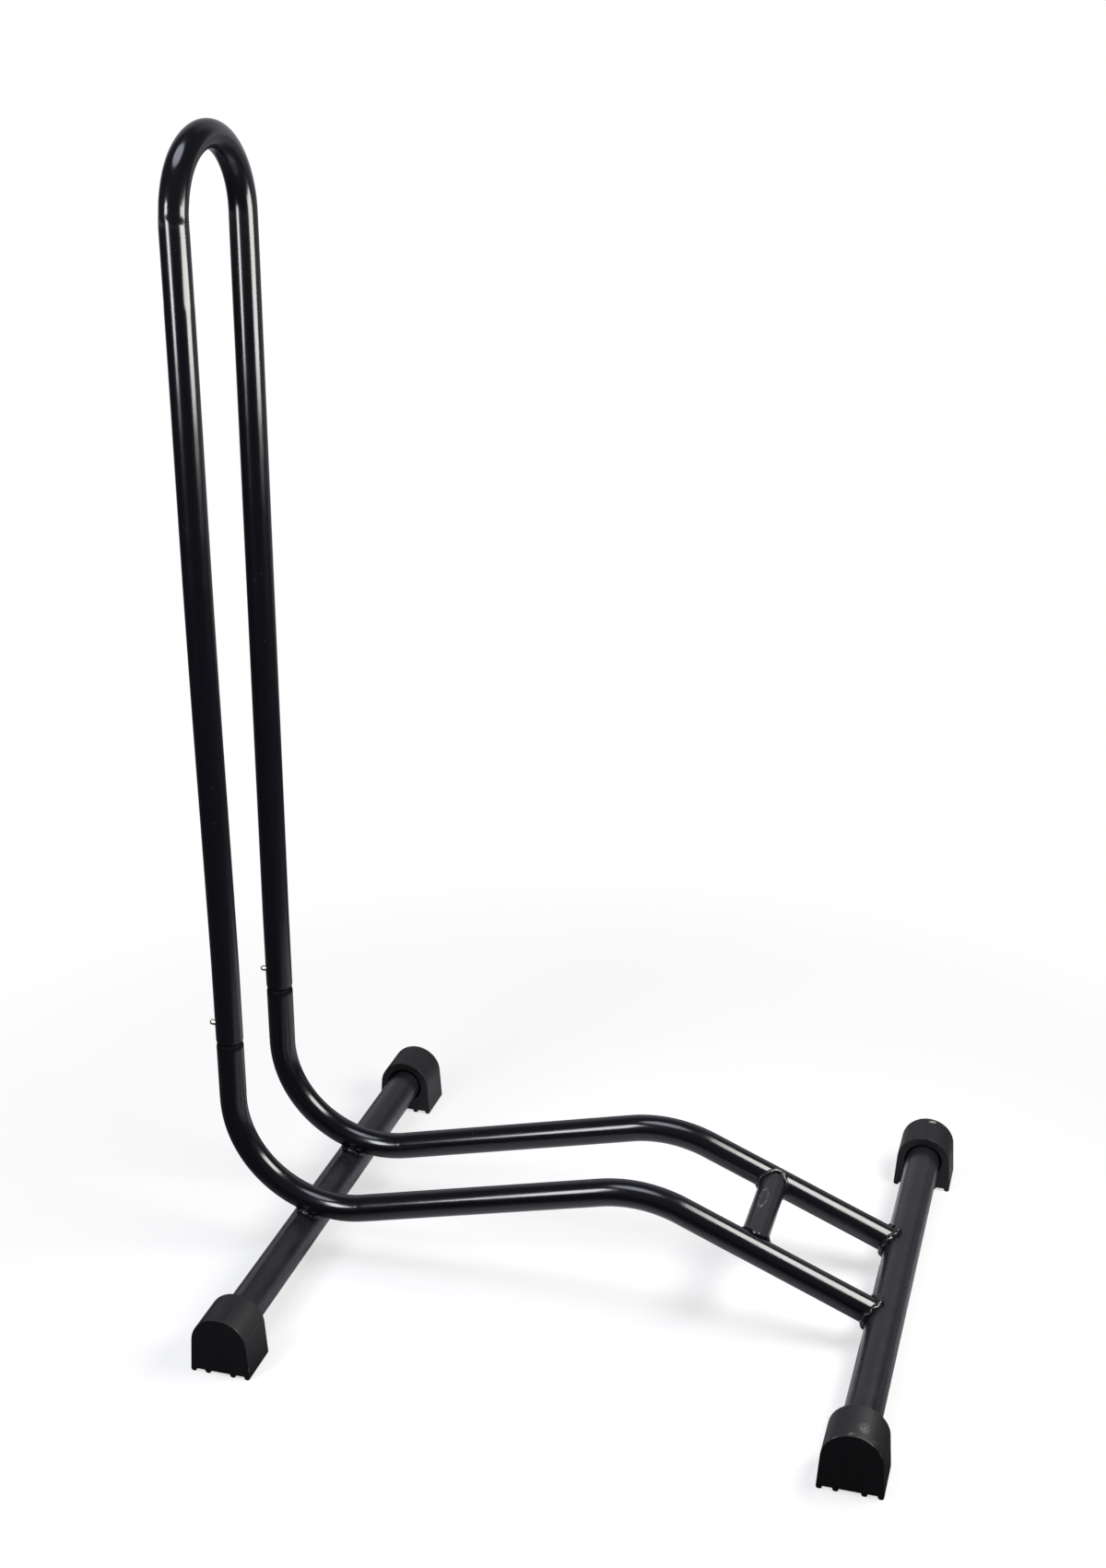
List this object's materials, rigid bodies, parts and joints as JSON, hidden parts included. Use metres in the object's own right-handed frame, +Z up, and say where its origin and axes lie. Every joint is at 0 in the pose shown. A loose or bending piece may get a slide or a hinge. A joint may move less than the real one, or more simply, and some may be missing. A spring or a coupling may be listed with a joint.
{
  "type": "bicycle floor stand",
  "caption": "Tubular steel floor stand that holds one bicycle wheel between two bent rails, with a lift-off upright hoop, sprung snap buttons and moulded feet.",
  "frame": {"origin": "on the floor, under the middle of the bounding box, in the stand's plane of symmetry", "axes": "+Z up along the upright hoop, +X from the hoop towards the front cross tube, +Y across the stand, along the cross tubes"},
  "size_m": [0.5168, 0.4, 0.8016],
  "materials": {
    "gloss_black_paint": "gloss black powder coat on steel tube",
    "satin_black_paint": "satin black powder coat on steel tube",
    "painted_weld": "rippled weld bead under gloss black powder coat",
    "moulded_foot": "matt black moulded foot, lightly scuffed",
    "bright_steel": "bright nickel plated steel",
    "spring_steel": "plain spring steel strip"
  },
  "bodies": {
    "frame": {"near_rail": "gloss_black_paint", "far_rail": "gloss_black_paint", "rear_cross_tube": "satin_black_paint", "front_cross_tube": "satin_black_paint", "rail_spacer": "satin_black_paint", "rear_near_foot": "moulded_foot", "rear_far_foot": "moulded_foot", "front_near_foot": "moulded_foot", "front_far_foot": "moulded_foot", "near_button_spring": "spring_steel", "far_button_spring": "spring_steel", "near_spacer_weld": "painted_weld", "far_spacer_weld": "painted_weld", "near_front_weld": "painted_weld", "far_front_weld": "painted_weld", "near_rear_weld": "painted_weld", "far_rear_weld": "painted_weld"},
    "hoop": {"upright_hoop": "gloss_black_paint"},
    "near_button": {"near_snap_button": "bright_steel"},
    "far_button": {"far_snap_button": "bright_steel"}
  },
  "joints": [
    {"name": "hoop_lift", "type": "slide", "parent": "frame", "child": "hoop", "axis": [0, 0, 1], "range_m": [0, 0.15]},
    {"name": "near_button_press", "type": "slide", "parent": "frame", "child": "near_button", "axis": [1, 0, 0], "range_m": [0, 0.0068], "stiffness_N_per_m": 1500, "deforming": ["near_button_spring"]},
    {"name": "far_button_press", "type": "slide", "parent": "frame", "child": "far_button", "axis": [1, 0, 0], "range_m": [0, 0.0068], "stiffness_N_per_m": 1500, "deforming": ["far_button_spring"]}
  ]
}
